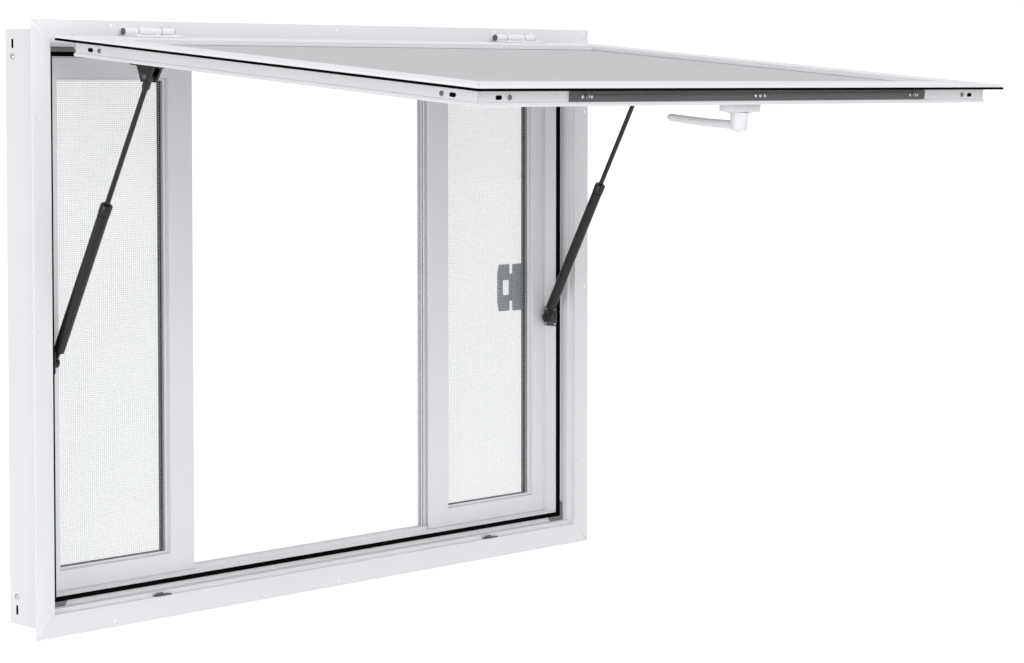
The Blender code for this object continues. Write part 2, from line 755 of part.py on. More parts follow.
def build_handle(white, steel, pivot, handle):
    """Base, lever and the forked spindle; the handle empty's Y axis is the turning axis."""
    base_y = LIP_PLANE + SASH_BACK + GAP + BASE_SIZE[1] / 2
    base_z = AWNING_FOOT + HANDLE_INSET
    base = make_part("handle_base", box_mesh(BASE_SIZE), white, (0, base_y, base_z), pivot)
    bevel(base, BASE_BEVEL)
    bore = round_mesh(SPINDLE_HOLE_RADIUS, 2 * BASE_SIZE[1], "Y")
    combine(base, make_guide("handle_base_bore", bore, (0, base_y, base_z), pivot), "DIFFERENCE")

    hub_start = SASH_BACK + BASE_SIZE[1] + 2 * GAP
    hub = round_mesh(HUB_RADIUS, HUB_LENGTH, "Y", ROUND_SIDES, HUB_TIP_RADIUS, hub_start)
    lever = make_part("handle_lever", hub, white, (0, 0, 0), handle)
    arm = round_mesh(
        LEVER_ROOT_RADIUS, LEVER_LENGTH - LEVER_START, "Z", SMALL_SIDES, LEVER_TIP_RADIUS,
        LEVER_START,
    )
    place = (0, hub_start + HUB_LENGTH - LEVER_FROM_HUB_END, 0)
    combine(lever, make_guide("handle_lever_arm", arm, place, handle), "UNION")
    socket = round_mesh(
        SPINDLE_RADIUS + GAP, SPINDLE_HUB_DEPTH + GAP + OVERLAP, "Y", ROUND_SIDES,
        start=hub_start - OVERLAP,
    )
    combine(lever, make_guide("handle_lever_socket", socket, (0, 0, 0), handle), "DIFFERENCE")

    end = hub_start + SPINDLE_HUB_DEPTH
    shaft = round_mesh(
        SPINDLE_RADIUS, end - SPINDLE_START, "Y", ROUND_SIDES, start=SPINDLE_START,
    )
    spindle = make_part("handle_spindle", shaft, steel, (0, 0, 0), handle)
    fork = outline_mesh([[
        (-FORK_HALF_WIDTH, -FORK_HALF_WIDTH),
        (FORK_HALF_WIDTH, -FORK_HALF_WIDTH),
        (FORK_HALF_WIDTH, FORK_REACH),
        (FORK_SLOT_HALF, FORK_REACH),
        (FORK_SLOT_HALF, FORK_SLOT_START),
        (-FORK_SLOT_HALF, FORK_SLOT_START),
        (-FORK_SLOT_HALF, FORK_REACH),
        (-FORK_HALF_WIDTH, FORK_REACH),
    ]], FORK_THICK)
    # The fork points down to the lock bar, half of the handle's travel before the middle.
    fork.transform(Matrix.Rotation(math.radians(-90), 4, "X"))
    fork.transform(Matrix.Rotation(-HANDLE_TRAVEL / 2, 4, "Y"))
    guide = make_guide("handle_fork", fork, (0, FORK_Y + FORK_THICK / 2, 0), handle)
    combine(spindle, guide, "UNION")


def build_lock_bar(steel, bar):
    """The bar in the front rail's channel, with a stud at each end and a link to the fork."""
    middle_y = LOCK_BAR_Y + LOCK_BAR_HEIGHT / 2
    middle_z = (LOCK_BAR_OUTER + LOCK_BAR_INNER) / 2
    size = (LOCK_BAR_LENGTH, LOCK_BAR_HEIGHT, LOCK_BAR_INNER - LOCK_BAR_OUTER)
    place = (LOCK_BAR_MIDDLE_X, middle_y, middle_z)
    lock_bar = make_part("lock_bar", box_mesh(size), steel, place, bar)
    for side_name, side in SIDES:
        stud = round_mesh(
            STUD_RADIUS, middle_z - STUD_TIP, "Z", SMALL_SIDES, start=STUD_TIP,
        )
        place = (side * STUD_X + STUD_SHIFT, STUD_Y, 0)
        guide = make_guide(f"lock_stud_{side_name}", stud, place, bar)
        combine(lock_bar, guide, "UNION")
    link_x = LOCK_TRAVEL / 2
    link_length = LINK_END - middle_z
    link = box_mesh((2 * LINK_HALF_WIDTH, LINK_THICK, link_length))
    place = (link_x, LINK_Y + LINK_THICK / 2, middle_z + link_length / 2)
    combine(lock_bar, make_guide("lock_link", link, place, bar), "UNION")
    peg_length = LINK_Y + LINK_THICK / 2 - FORK_Y
    peg = round_mesh(PEG_RADIUS, peg_length, "Y", SMALL_SIDES, start=FORK_Y)
    place = (link_x, 0, HANDLE_INSET - LOCK_TRAVEL / 2)
    combine(lock_bar, make_guide("lock_peg", peg, place, bar), "UNION")


# --- gas struts ----------------------------------------------------------------------

def build_clevis(side_name, x, black, pivot):
    """A plate under the awning's stile with two ears and the pin between them."""
    back = LIP_PLANE + SASH_BACK + GAP
    plate_y = back + CLEVIS_PLATE[1] / 2
    place = (x, plate_y, CLEVIS_PIN_Z)
    clevis = make_part(
        f"strut_{side_name}_clevis", box_mesh(CLEVIS_PLATE), black, place, pivot,
    )
    root = CLEVIS_ROOT
    nose = CLEVIS_NOSE
    reach = CLEVIS_PIN_Y - plate_y
    outline = [(-root, 0), (root, 0), (nose, reach + nose), (-nose, reach + nose)]
    for step in (-1, 1):
        ear = outline_mesh([outline], CLEVIS_EAR_THICK)
        # (x, y, z) of the outline becomes (z, x, y) of the awning: along Z, out along Y.
        ear.transform(Matrix(((0, 0, 1, 0), (0, 1, 0, 0), (1, 0, 0, 0), (0, 0, 0, 1))))
        ear.flip_normals()
        ear_x = x + step * (CLEVIS_EAR_GAP + CLEVIS_EAR_THICK) / 2
        guide = make_guide(f"{clevis.name}_ear", ear, (ear_x, plate_y, CLEVIS_PIN_Z), pivot)
        combine(clevis, guide, "UNION")
    pin = round_mesh(
        CLEVIS_PIN_RADIUS, CLEVIS_EAR_GAP + 2 * (CLEVIS_EAR_THICK + OVERLAP), "X", SMALL_SIDES,
    )
    place = (x, CLEVIS_PIN_Y, CLEVIS_PIN_Z)
    combine(clevis, make_guide(f"{clevis.name}_pin", pin, place, pivot), "UNION")


def build_foot_bracket(side_name, side, black):
    """A plate on the sleeve's inner wall with a stud that meets the strut's socket."""
    plate_x = side * (CLEAR_HALF_WIDTH - GAP - FOOT_PLATE[0] / 2)
    place = (plate_x, FOOT_PLATE_Y, FOOT_PLATE_Z)
    bracket = make_part(
        f"strut_{side_name}_foot_bracket", box_mesh(FOOT_PLATE), black, place,
    )
    stud_end = STRUT_X + SOCKET_WIDTH / 2 + SOCKET_GAP
    stud_length = CLEAR_HALF_WIDTH - OVERLAP - stud_end
    stud = round_mesh(FOOT_STUD_RADIUS, stud_length, "X", SMALL_SIDES)
    place = (side * (stud_end + stud_length / 2), FOOT_Y, FOOT_Z)
    combine(bracket, make_guide(f"{bracket.name}_stud", stud, place), "UNION")


def build_strut(side_name, side, black, steel, pivot):
    """Rod and tube drawn along Z from the clevis pin and from the foot pivot."""
    x = side * STRUT_X
    build_clevis(side_name, x, black, pivot)
    build_foot_bracket(side_name, side, black)

    swing = Matrix.Rotation(-OPEN_ANGLE, 4, "X")
    pin = Vector((0, HINGE_Y, HINGE_Z)) + swing @ Vector((0, CLEVIS_PIN_Y, CLEVIS_PIN_Z))
    foot = Vector((0, FOOT_Y, FOOT_Z))
    along = pin - foot
    lean = math.atan2(-along.y, along.z)
    rod_axis = make_empty(f"strut_{side_name}_rod_pivot", (x, pin.y, pin.z), None, (lean, 0, 0))
    tube_axis = make_empty(f"strut_{side_name}_foot", (x, FOOT_Y, FOOT_Z), None, (lean, 0, 0))

    shaft = round_mesh(ROD_RADIUS, ROD_LENGTH, "Z", SMALL_SIDES, start=-ROD_LENGTH)
    rod = make_part(f"strut_{side_name}_rod", shaft, steel, (0, 0, 0), rod_axis)
    eye = round_mesh(ROD_EYE_RADIUS, ROD_EYE_WIDTH, "X", ROUND_SIDES)
    combine(rod, make_guide(f"{rod.name}_eye", eye, (0, 0, 0), rod_axis), "UNION")
    piston = round_mesh(
        PISTON_RADIUS, PISTON_LENGTH, "Z", SMALL_SIDES, start=-ROD_LENGTH - OVERLAP,
    )
    combine(rod, make_guide(f"{rod.name}_piston", piston, (0, 0, 0), rod_axis), "UNION")
    hole = round_mesh(CLEVIS_PIN_RADIUS + GAP, 2 * ROD_EYE_WIDTH, "X", SMALL_SIDES)
    combine(rod, make_guide(f"{rod.name}_hole", hole, (0, 0, 0), rod_axis), "DIFFERENCE")

    length = CAP_START + OVERLAP - TUBE_START
    body = round_mesh(TUBE_RADIUS, length, "Z", ROUND_SIDES, start=TUBE_START)
    tube = make_part(f"strut_{side_name}_tube", body, black, (0, 0, 0), tube_axis)
    cap = round_mesh(CAP_RADIUS, TUBE_LENGTH - CAP_START, "Z", ROUND_SIDES, start=CAP_START)
    combine(tube, make_guide(f"{tube.name}_cap", cap, (0, 0, 0), tube_axis), "UNION")
    neck = round_mesh(NECK_RADIUS, TUBE_START + OVERLAP, "Z", ROUND_SIDES, start=0.0)
    combine(tube, make_guide(f"{tube.name}_neck", neck, (0, 0, 0), tube_axis), "UNION")
    socket = round_mesh(SOCKET_RADIUS, SOCKET_WIDTH, "X", ROUND_SIDES)
    combine(tube, make_guide(f"{tube.name}_socket", socket, (0, 0, 0), tube_axis), "UNION")
    bore = round_mesh(
        TUBE_BORE, CAP_START - TUBE_BORE_START, "Z", SMALL_SIDES, start=TUBE_BORE_START,
    )
    combine(tube, make_guide(f"{tube.name}_bore", bore, (0, 0, 0), tube_axis), "DIFFERENCE")
    length = 2 * (TUBE_LENGTH - CAP_START)
    mouth = round_mesh(CAP_BORE, length, "Z", SMALL_SIDES, start=CAP_START - 2 * OVERLAP)
    combine(tube, make_guide(f"{tube.name}_mouth", mouth, (0, 0, 0), tube_axis), "DIFFERENCE")


# --- assembly ------------------------------------------------------------------------

clear_scene()
PARTS = make_collection("serving_window")
CUTTERS = make_collection("serving_window_cutters")

WHITE = make_material("white_powder_coat", (0.76, 0.77, 0.79), 0.38)
SHEET = make_material("white_sheet", (0.74, 0.75, 0.77), 0.30)
RUBBER = make_material("black_rubber", (0.012, 0.012, 0.013), 0.75)
GREY = make_material("grey_moulding", (0.18, 0.18, 0.19), 0.50)
DARK = make_material("dark_steel", (0.11, 0.11, 0.12), 0.42, 0.6)
BLACK = make_material("black_paint", (0.016, 0.016, 0.018), 0.30)
CHROME = make_material("bright_steel", (0.55, 0.55, 0.57), 0.25, 1.0)
CLOTH = make_material("screen_cloth", (0.55, 0.56, 0.58), 0.60)
GLASS = make_material("clear_glass", (0.85, 0.92, 0.95), 0.05, 0.0, 0.35)

build_wall_frame(WHITE)
build_frame_seal(RUBBER)
build_corner_gussets(GREY)
build_keepers(DARK)
build_panels(WHITE, CLOTH, GLASS, GREY)

FRAME_AXIS = make_empty("hinge_axis", (0, HINGE_Y, HINGE_Z))
AWNING_AXIS = make_empty("awning_axis", (0, HINGE_Y, HINGE_Z), None, (-OPEN_ANGLE, 0, 0))
build_awning(WHITE, SHEET, RUBBER, AWNING_AXIS)
for hinge_name, hinge_side in SIDES:
    build_hinge(hinge_name, hinge_side, WHITE, DARK, FRAME_AXIS, AWNING_AXIS)

HANDLE_AXIS = make_empty(
    "handle_axis", (0, LIP_PLANE, AWNING_FOOT + HANDLE_INSET), AWNING_AXIS,
)
build_handle(WHITE, CHROME, AWNING_AXIS, HANDLE_AXIS)
LOCK_SLIDE = make_empty("lock_slide", (0, LIP_PLANE, AWNING_FOOT), AWNING_AXIS)
build_lock_bar(DARK, LOCK_SLIDE)
for strut_name, strut_side in SIDES:
    build_strut(strut_name, strut_side, BLACK, BLACK, AWNING_AXIS)
bpy.context.view_layer.update()
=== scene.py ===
"""The looks of the serving window: materials, fine edges, fasteners, seals and mesh.

Every place and size is in metres: +X right seen from outside, +Y into the building, +Z up.
Pieces of the awning are placed as if it hung shut from its hinge axis, and swung open.
"""

import json
import math

import bmesh
import bpy
from mathutils import Matrix, Vector


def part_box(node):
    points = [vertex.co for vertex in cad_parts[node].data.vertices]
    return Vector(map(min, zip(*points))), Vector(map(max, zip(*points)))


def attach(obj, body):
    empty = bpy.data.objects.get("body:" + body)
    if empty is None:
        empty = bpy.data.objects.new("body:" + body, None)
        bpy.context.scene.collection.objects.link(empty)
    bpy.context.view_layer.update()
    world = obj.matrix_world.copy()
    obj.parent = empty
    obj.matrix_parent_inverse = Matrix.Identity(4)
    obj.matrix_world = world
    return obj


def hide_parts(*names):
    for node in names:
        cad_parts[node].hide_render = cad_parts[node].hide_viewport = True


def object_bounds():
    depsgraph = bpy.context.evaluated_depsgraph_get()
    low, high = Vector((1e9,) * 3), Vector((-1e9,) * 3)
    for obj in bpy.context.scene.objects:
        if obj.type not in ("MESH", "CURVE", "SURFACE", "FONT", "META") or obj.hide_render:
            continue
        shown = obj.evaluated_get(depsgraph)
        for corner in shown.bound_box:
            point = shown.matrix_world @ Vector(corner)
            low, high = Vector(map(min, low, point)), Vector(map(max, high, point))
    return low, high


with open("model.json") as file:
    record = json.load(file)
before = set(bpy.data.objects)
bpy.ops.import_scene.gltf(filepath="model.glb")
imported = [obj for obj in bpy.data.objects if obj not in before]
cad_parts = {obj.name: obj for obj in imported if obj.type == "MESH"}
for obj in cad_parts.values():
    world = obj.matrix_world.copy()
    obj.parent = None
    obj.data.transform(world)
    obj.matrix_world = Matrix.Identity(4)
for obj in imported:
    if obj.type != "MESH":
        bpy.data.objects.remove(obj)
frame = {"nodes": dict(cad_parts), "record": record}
CAD_LOW, CAD_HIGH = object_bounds()

NODES = frame["nodes"]
BEHAVIOUR = frame["record"]["behaviour"]
BODY_OF = {node: body for body, nodes in BEHAVIOUR["bodies"].items() for node in nodes}
SLOT_OF = {part["node"]: part["material_slot"] for part in frame["record"]["subparts"]}
HINGE = next(joint for joint in BEHAVIOUR["joints"] if joint["name"] == "awning_hinge")
OPEN_ANGLE = math.radians(HINGE["range_deg"][1])
AWNING = Matrix.Translation(HINGE["pos_m"]) @ Matrix.Rotation(-OPEN_ANGLE, 4, "X")
WORLD = Matrix.Identity(4)
SIDES = (("left", -1), ("right", 1))


# --- camera, light and floor --------------------------------------------------------------

CAMERA_PLACE = Vector((-3.051, -3.359, 0.833))
CAMERA_YAW = math.radians(46.327)
CAMERA_PITCH = math.radians(-2.699)
CAMERA_LENS = 94.623
CAMERA_SHIFT = -0.12
# Each light's name, place, target, size and power in watts.
AREA_LIGHTS = (
    ("key", (-2.0, -5.0, 2.2), (0.2, -0.1, 0.4), 2.5, 104.0),
    ("side", (-5.0, -1.0, 0.6), (0.2, -0.1, 0.4), 2.5, 80.0),
    ("top", (0.3, -1.0, 4.5), (0.2, -0.4, 0.8), 2.0, 30.0),
)
FLOOR_DROP = 0.30
FLOOR_SIZE = 40.0
BACKDROP = 1.15
# Ambient light by height, each as (share of the way from straight down to straight up, colour).
AMBIENT = (
    (0.30, (1.00, 1.00, 1.01)),
    (0.52, (0.60, 0.60, 0.61)),
    (1.00, (1.02, 1.02, 1.03)),
)


def add_camera():
    data = bpy.data.cameras.new("camera")
    data.lens = CAMERA_LENS
    data.sensor_width = 36.0
    data.shift_y = CAMERA_SHIFT
    data.clip_end = 100.0
    camera = bpy.data.objects.new("camera", data)
    camera.location = CAMERA_PLACE
    camera.rotation_euler = (math.radians(90) + CAMERA_PITCH, 0.0, -CAMERA_YAW)
    bpy.context.scene.collection.objects.link(camera)
    bpy.context.scene.camera = camera


def add_world():
    """A white backdrop for the camera, and ambient light that is weakest at eye level."""
    world = bpy.data.worlds.new("studio")
    world.use_nodes = True
    tree = world.node_tree
    backdrop = tree.nodes["Background"]
    backdrop.inputs["Color"].default_value = (1.0, 1.0, 1.0, 1.0)
    backdrop.inputs["Strength"].default_value = BACKDROP
    place = tree.nodes.new("ShaderNodeTexCoord")
    split = tree.nodes.new("ShaderNodeSeparateXYZ")
    tree.links.new(place.outputs["Generated"], split.inputs["Vector"])
    height = tree.nodes.new("ShaderNodeMapRange")
    height.inputs["From Min"].default_value = -1.0
    tree.links.new(split.outputs["Z"], height.inputs["Value"])
    ramp = tree.nodes.new("ShaderNodeValToRGB")
    stops = ramp.color_ramp.elements
    while len(stops) < len(AMBIENT):
        stops.new(0.5)
    for stop, (position, colour) in zip(stops, AMBIENT):
        stop.position = position
        stop.color = (*colour, 1.0)
    tree.links.new(height.outputs["Result"], ramp.inputs["Fac"])
    ambient = tree.nodes.new("ShaderNodeBackground")
    tree.links.new(ramp.outputs["Color"], ambient.inputs["Color"])
    rays = tree.nodes.new("ShaderNodeLightPath")
    mix = tree.nodes.new("ShaderNodeMixShader")
    tree.links.new(rays.outputs["Is Camera Ray"], mix.inputs["Fac"])
    tree.links.new(ambient.outputs["Background"], mix.inputs[1])
    tree.links.new(backdrop.outputs["Background"], mix.inputs[2])
    tree.links.new(mix.outputs["Shader"], tree.nodes["World Output"].inputs["Surface"])
    bpy.context.scene.world = world
    bpy.context.scene.view_settings.view_transform = "Standard"


def add_area_light(name, place, target, size, power):
    """A square soft light at a place, aimed at a target."""
    data = bpy.data.lights.new(name, "AREA")
    data.size = size
    data.energy = power
    light = bpy.data.objects.new(name, data)
    light.location = place
    aim = Vector(target) - Vector(place)
    light.rotation_euler = aim.to_track_quat("-Z", "Y").to_euler()
    bpy.context.scene.collection.objects.link(light)


def add_floor():
    """A pale floor that takes no part in the diffuse light on the window."""
    mesh = bpy.data.meshes.new("floor")
    edit = bmesh.new()
    bmesh.ops.create_grid(edit, x_segments=1, y_segments=1, size=FLOOR_SIZE / 2)
    edit.to_mesh(mesh)
    edit.free()
    floor = bpy.data.objects.new("floor", mesh)
    floor.location = (0.0, 0.0, CAD_LOW.z - FLOOR_DROP)
    bpy.context.scene.collection.objects.link(floor)
    mesh.materials.append(plain_floor())
    floor.visible_diffuse = False


# --- materials ----------------------------------------------------------------------------

CLOUD_SCALE = 9.0
ROUGHNESS_DRIFT = 0.06


def new_material(name):
    material = bpy.data.materials.new(name)
    material.use_nodes = True
    return material, material.node_tree, material.node_tree.nodes["Principled BSDF"]


def add_noise(tree, scale, detail=4.0, stretch=(1, 1, 1)):
    """Noise over object coordinates, in cells per metre."""
    place = tree.nodes.new("ShaderNodeTexCoord")
    mapping = tree.nodes.new("ShaderNodeMapping")
    mapping.inputs["Scale"].default_value = stretch
    noise = tree.nodes.new("ShaderNodeTexNoise")
    noise.inputs["Scale"].default_value = scale
    noise.inputs["Detail"].default_value = detail
    tree.links.new(place.outputs["Object"], mapping.inputs["Vector"])
    tree.links.new(mapping.outputs["Vector"], noise.inputs["Vector"])
    return noise.outputs["Fac"]


def add_ramp(tree, value, low, high, start=0.3, end=0.7):
    """Colour between low and high as value goes from start to end."""
    ramp = tree.nodes.new("ShaderNodeValToRGB")
    ramp.color_ramp.elements[0].position = start
    ramp.color_ramp.elements[0].color = (*low, 1.0)
    ramp.color_ramp.elements[1].position = end
    ramp.color_ramp.elements[1].color = (*high, 1.0)
    tree.links.new(value, ramp.inputs["Fac"])
    return ramp.outputs["Color"]


def add_range(tree, value, low, high):
    """A number between low and high as value goes from 0 to 1."""
    remap = tree.nodes.new("ShaderNodeMapRange")
    remap.inputs["To Min"].default_value = low
    remap.inputs["To Max"].default_value = high
    tree.links.new(value, remap.inputs["Value"])
    return remap.outputs["Result"]


def add_bump(tree, shader, height, strength, distance):
    bump = tree.nodes.new("ShaderNodeBump")
    bump.inputs["Strength"].default_value = strength
    bump.inputs["Distance"].default_value = distance
    tree.links.new(height, bump.inputs["Height"])
    tree.links.new(bump.outputs["Normal"], shader.inputs["Normal"])


def tint(colour, factor):
    return tuple(channel * factor for channel in colour)


def finish_material(name, colour, roughness, grain, variation, depth, strength,
                    metallic=0.0, stretch=(1, 1, 1), gloss=0.5):
    """A finish with slow colour drift, a fine grain in its roughness and a bump.

    The grain is in cells per metre, and depth and strength are its bump's.
    """
    material, tree, shader = new_material(name)
    slow = add_noise(tree, CLOUD_SCALE, 3.0)
    colours = add_ramp(tree, slow, tint(colour, 1 - variation), tint(colour, 1 + variation))
    tree.links.new(colours, shader.inputs["Base Color"])
    fine = add_noise(tree, grain, 5.0, stretch)
    rough = add_range(tree, fine, roughness - ROUGHNESS_DRIFT, roughness + ROUGHNESS_DRIFT)
    tree.links.new(rough, shader.inputs["Roughness"])
    add_bump(tree, shader, fine, strength, depth)
    shader.inputs["Metallic"].default_value = metallic
    shader.inputs["Specular IOR Level"].default_value = gloss
    return material


def plain_floor():
    """White that glows as bright as the backdrop, so that no horizon shows through the glass."""
    material, _, shader = new_material("floor_white")
    shader.inputs["Base Color"].default_value = (0.02, 0.02, 0.02, 1.0)
    shader.inputs["Roughness"].default_value = 1.0
    shader.inputs["Specular IOR Level"].default_value = 0.0
    shader.inputs["Emission Color"].default_value = (1.0, 1.0, 1.0, 1.0)
    shader.inputs["Emission Strength"].default_value = BACKDROP
    return material


def glass_material():
    """Thin clear glass: mostly see-through, with a mirror-like sheen."""
    material, tree, shader = new_material("clear_glass")
    slow = add_noise(tree, 6.0, 2.0)
    colours = add_ramp(tree, slow, (0.86, 0.93, 0.95), (0.90, 0.95, 0.97))
    tree.links.new(colours, shader.inputs["Base Color"])
    tree.links.new(add_range(tree, slow, 0.02, 0.05), shader.inputs["Roughness"])
    shader.inputs["Alpha"].default_value = 0.16
    shader.inputs["IOR"].default_value = 1.5
    return material


FINISHES = {
    "white_powder_coat": dict(
        colour=(0.70, 0.705, 0.72), roughness=0.38, grain=1400.0, variation=0.012,
        depth=0.00006, strength=0.25),
    # Painted shade: the sheet's colour is kept darker than the frame's white to stand for the
    # grey that reflection lays over the panel; the sheet itself is as white as the frame.
    "white_sheet": dict(
        colour=(0.42, 0.422, 0.43), roughness=0.34, grain=500.0, variation=0.03,
        depth=0.00005, strength=0.12),
    "black_rubber": dict(
        colour=(0.003, 0.003, 0.0032), roughness=0.70, grain=2400.0, variation=0.15,
        depth=0.0001, strength=0.5, gloss=0.0),
    "grey_moulding": dict(
        colour=(0.16, 0.16, 0.165), roughness=0.50, grain=1800.0, variation=0.06,
        depth=0.0001, strength=0.4),
    "dark_steel": dict(
        colour=(0.085, 0.085, 0.09), roughness=0.45, grain=700.0, variation=0.08,
        depth=0.00008, strength=0.3, metallic=0.30, stretch=(0.05, 1, 1)),
    "black_paint": dict(
        colour=(0.006, 0.006, 0.007), roughness=0.22, grain=900.0, variation=0.1,
        depth=0.00003, strength=0.12, gloss=0.40),
    "bright_steel": dict(
        colour=(0.58, 0.58, 0.60), roughness=0.28, grain=900.0, variation=0.05,
        depth=0.00005, strength=0.3, metallic=1.0),
    "screen_cloth": dict(
        colour=(0.45, 0.46, 0.48), roughness=0.55, grain=3000.0, variation=0.05,
        depth=0.00005, strength=0.3),
}
MATERIALS = {name: finish_material(name, **values) for name, values in FINISHES.items()}
MATERIALS["clear_glass"] = glass_material()


# --- making pieces ------------------------------------------------------------------------

MITRE_GAP = 0.00025
MITRE_REACH = 0.075
MITRE_FACE = 0.3
ROUND_SIDES = 28


def to_mesh(edit, name):
    bmesh.ops.recalc_face_normals(edit, faces=edit.faces)
    mesh = bpy.data.meshes.new(name)
    edit.to_mesh(mesh)
    edit.free()
    return mesh


def add_piece(name, mesh, slot, body):
    """A finished piece in the row frame, riding on a body with its slot's material."""
    mesh.name = name
    mesh.materials.clear()
    mesh.materials.append(MATERIALS[slot])
    piece = bpy.data.objects.new(name, mesh)
    bpy.context.scene.collection.objects.link(piece)
    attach(piece, body)
    return piece


def soften(piece, width):
    """Round the piece's sharp edges."""
    modifier = piece.modifiers.new("soft_edges", "BEVEL")
    modifier.width = width
    modifier.segments = 2
    modifier.limit_method = "ANGLE"
    modifier.angle_limit = math.radians(40)
    modifier.harden_normals = True
    smooth(piece)


def smooth(piece, degrees=40):
    piece.data.shade_smooth()
    piece.data.set_sharp_from_angle(angle=math.radians(degrees))


def refine(node, width, axis=None, turn=WORLD):
    """A copy of a CAD node with its flat faces merged and its edges rounded.

    Given the axis that a rail runs along, its mitred ends are opened and meet the next
    rail in a hairline.
    """
    mesh = NODES[node].data.copy()
    edit = bmesh.new()
    edit.from_mesh(mesh)
    bmesh.ops.remove_doubles(edit, verts=edit.verts, dist=0.00002)
    bmesh.ops.dissolve_limit(
        edit, angle_limit=math.radians(1.0), verts=edit.verts, edges=edit.edges,
    )
    if axis is not None:
        open_mitres(edit, axis, turn)
    edit.to_mesh(mesh)
    edit.free()
    piece = add_piece(f"{node}_fine", mesh, SLOT_OF[node], BODY_OF[node])
    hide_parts(node)
    soften(piece, width)
    return piece


def open_mitres(edit, axis, turn):
    """Delete a rail's end faces and lengthen it by the clearance at its mitres."""
    edit.transform(turn.inverted())
    reach = [vertex.co[axis] for vertex in edit.verts]
    middle = (min(reach) + max(reach)) / 2
    half = (max(reach) - min(reach)) / 2
    ends = [
        face for face in edit.faces
        if abs(face.normal[axis]) > MITRE_FACE
        and abs(face.calc_center_median()[axis] - middle) > half - MITRE_REACH
    ]
    bmesh.ops.delete(edit, geom=ends, context="FACES")
    for vertex in edit.verts:
        vertex.co[axis] = middle + (vertex.co[axis] - middle) * (1 + MITRE_GAP / half)
    edit.transform(turn)


def facing(place, normal, turn=WORLD):
    """A matrix that puts local +Z along a normal at a place."""
    aim = Vector(normal).to_track_quat("Z", "Y").to_matrix().to_4x4()
    return turn @ Matrix.Translation(place) @ aim


def join_loops(edit, loops, closed):
    """Faces between neighbouring loops of vertices."""
    count = len(loops)
    for i in range(count if closed else count - 1):
        near = loops[i]
        far = loops[(i + 1) % count]
        for j in range(len(near)):
            k = (j + 1) % len(near)
            edit.faces.new((near[j], near[k], far[k], far[j]))


def turned(edit, profile, matrix, sides):
    """A solid of (height, radius) points turned round local Z, closed at both ends."""
    loops = []
    for height, radius in profile:
        loop = []
        for i in range(sides):
            angle = 2 * math.pi * i / sides
            place = (radius * math.cos(angle), radius * math.sin(angle), height)
            loop.append(edit.verts.new(matrix @ Vector(place)))
        loops.append(loop)
    join_loops(edit, loops, False)
    edit.faces.new(loops[0][::-1])
    edit.faces.new(loops[-1])


def add_turned(name, profiles, slot, body, sides=ROUND_SIDES):
    """One piece of several turned solids, each a (profile, matrix) pair."""
    edit = bmesh.new()
    for profile, matrix in profiles:
        turned(edit, profile, matrix, sides)
    piece = add_piece(name, to_mesh(edit, name), slot, body)
    smooth(piece, 35)
    return piece


def add_screws(name, matrices, radius, slot, body):
    """Pan heads with a cross recess, on the surfaces that the matrices stand on."""
    edit = bmesh.new()
    sides = 32
    height = radius * 0.55
    # Each ring is (level, share of the radius, depth of the cross's lobes).
    rings = (
        (-0.0002, 1.0, 0.0), (height * 0.45, 1.0, 0.0), (height * 0.85, 0.80, 0.0),
        (height, 0.58, 0.0), (height, 0.50, 0.55), (height * 0.3, 0.30, 0.55),
    )
    for matrix in matrices:
        loops = []
        for level, share, lobes in rings:
            loop = []
            for i in range(sides):
                angle = 2 * math.pi * i / sides
                lobe = 1 - lobes * (1 - math.cos(2 * angle) ** 2)
                reach = radius * share * lobe
                place = (reach * math.cos(angle), reach * math.sin(angle), level)
                loop.append(edit.verts.new(matrix @ Vector(place)))
            loops.append(loop)
        join_loops(edit, loops, False)
        edit.faces.new(loops[0][::-1])
        edit.faces.new(loops[-1])
    piece = add_piece(name, to_mesh(edit, name), slot, body)
    smooth(piece, 35)
    return piece


def rounded_outline(width, height, corner, steps=6):
    """Points of a rectangle with rounded corners."""
    points = []
    for sx, sy, start in ((1, 1, 0), (-1, 1, 90), (-1, -1, 180), (1, -1, 270)):
        for i in range(steps + 1):
            angle = math.radians(start + 90 * i / steps)
            x = sx * (width / 2 - corner) + corner * math.cos(angle)
            y = sy * (height / 2 - corner) + corner * math.sin(angle)
            points.append((x, y))
    return points


def add_plates(name, matrices, size, corner, slot, body, edge=0.0003):
    """Rounded plates of (width, height, thickness), standing on the matrices."""
    edit = bmesh.new()
    width, height, thickness = size
    levels = ((0.0, 0.0), (thickness - edge, 0.0), (thickness, edge))
    for matrix in matrices:
        loops = []
        for level, draw in levels:
            outline = rounded_outline(width - 2 * draw, height - 2 * draw, corner - draw)
            loops.append([edit.verts.new(matrix @ Vector((x, y, level))) for x, y in outline])
        join_loops(edit, loops, False)
        edit.faces.new(loops[0][::-1])
        edit.faces.new(loops[-1])
    piece = add_piece(name, to_mesh(edit, name), slot, body)
    smooth(piece, 35)
    return piece


def add_ring(name, section, low, high, slot, body, turn=WORLD):
    """A section of (y, inset) points carried round a rectangle from low to high (x, z)."""
    edit = bmesh.new()
    loops = []
    for x, z, right, up in (
        (low[0], low[1], 1, 1), (high[0], low[1], -1, 1),
        (high[0], high[1], -1, -1), (low[0], high[1], 1, -1),
    ):
        loops.append([
            edit.verts.new(turn @ Vector((x + right * inset, y, z + up * inset)))
            for y, inset in section
        ])
    join_loops(edit, loops, True)
    piece = add_piece(name, to_mesh(edit, name), slot, body)
    smooth(piece, 50)
    return piece


def add_loft(name, rings, slot, body, turn=WORLD):
    """A closed skin over rings of points."""
    edit = bmesh.new()
    loops = [[edit.verts.new(turn @ Vector(point)) for point in ring] for ring in rings]
    join_loops(edit, loops, False)
    edit.faces.new(loops[0][::-1])
    edit.faces.new(loops[-1])
    piece = add_piece(name, to_mesh(edit, name), slot, body)
    smooth(piece, 60)
    return piece


# --- frame --------------------------------------------------------------------------------

